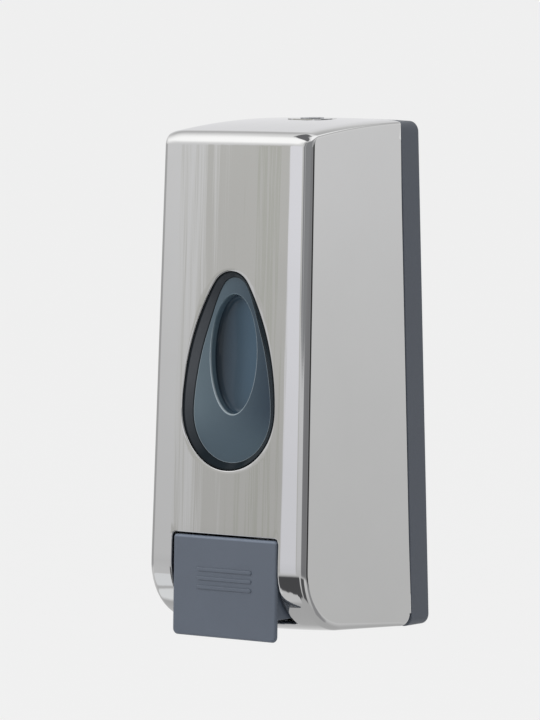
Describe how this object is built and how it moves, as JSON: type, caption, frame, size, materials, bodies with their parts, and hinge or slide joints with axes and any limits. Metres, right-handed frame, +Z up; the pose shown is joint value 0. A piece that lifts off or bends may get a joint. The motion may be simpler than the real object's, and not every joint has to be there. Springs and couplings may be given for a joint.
{
  "type": "soap dispenser",
  "caption": "Wall-mounted liquid soap dispenser with a hinged chrome cover, a smoked teardrop window, a push button that works a piston pump, and a refillable tank inside.",
  "frame": {"origin": "middle of the wall screw holes, on the back face that lies against the wall", "axes": "+X to the right seen from the front, +Y into the wall, +Z up"},
  "size_m": [0.1032, 0.1006, 0.2584],
  "materials": {
    "chrome_shell": "satin-bright chrome plate",
    "grey_plastic": "moulded dark grey",
    "button_plastic": "moulded blue-grey",
    "smoked_window": "smoked clear plastic",
    "white_plastic": "moulded white",
    "tank_plastic": "milky tank plastic",
    "black_rubber": "moulded rubber",
    "silicone": "soft silicone",
    "steel": "plain steel"
  },
  "bodies": {
    "base": {"back_plate": "grey_plastic", "pump_bracket": "white_plastic", "bracket_screws": "steel", "reservoir": "tank_plastic", "lid_gasket": "black_rubber", "neck_gasket": "black_rubber", "neck_nut": "white_plastic", "pump_cylinder": "white_plastic", "inlet_seal": "black_rubber", "valve_plate": "white_plastic", "inlet_valve": "silicone", "cylinder_cap": "white_plastic", "piston_retainer": "white_plastic", "pump_spring": "steel", "outlet_nozzle": "grey_plastic", "duckbill_valve": "silicone", "hinge_pins": "steel"},
    "lid": {"reservoir_lid": "white_plastic"},
    "cover": {"front_cover": "chrome_shell", "window_lens": "smoked_window", "window_gasket": "black_rubber", "lens_screws": "steel", "button_pin": "steel", "lock_bezel": "chrome_shell", "lock_nut": "steel"},
    "lock": {"lock_barrel": "steel", "lock_cam": "steel", "cam_screw": "steel"},
    "button": {"push_button": "button_plastic", "button_bumper": "black_rubber"},
    "piston": {"pump_piston": "white_plastic", "piston_seal": "black_rubber"}
  },
  "joints": [
    {"name": "cover_hinge", "type": "hinge", "parent": "base", "child": "cover", "pos_m": [0, -0.02, -0.12356], "axis": [1, 0, 0], "range_deg": [0, 90]},
    {"name": "lid_lift", "type": "slide", "parent": "base", "child": "lid", "axis": [0, 0, 1], "range_m": [0, 0.012]},
    {"name": "lock_turn", "type": "hinge", "parent": "cover", "child": "lock", "pos_m": [0, -0.026, 0.12], "axis": [0, 0, 1], "range_deg": [0, 90]},
    {"name": "button_hinge", "type": "hinge", "parent": "cover", "child": "button", "pos_m": [0, -0.092, -0.084], "axis": [1, 0, 0], "range_deg": [0, 15], "stiffness_Nm_per_rad": 0.6, "springref_deg": -10.2},
    {"name": "piston_slide", "type": "slide", "parent": "base", "child": "piston", "axis": [0, 1, 0], "range_m": [0, 0.006], "deforming": ["pump_spring"]}
  ],
  "couplings": [
    {"joint": "piston_slide", "follows": "button_hinge", "m_per_rad": 0.0225}
  ]
}
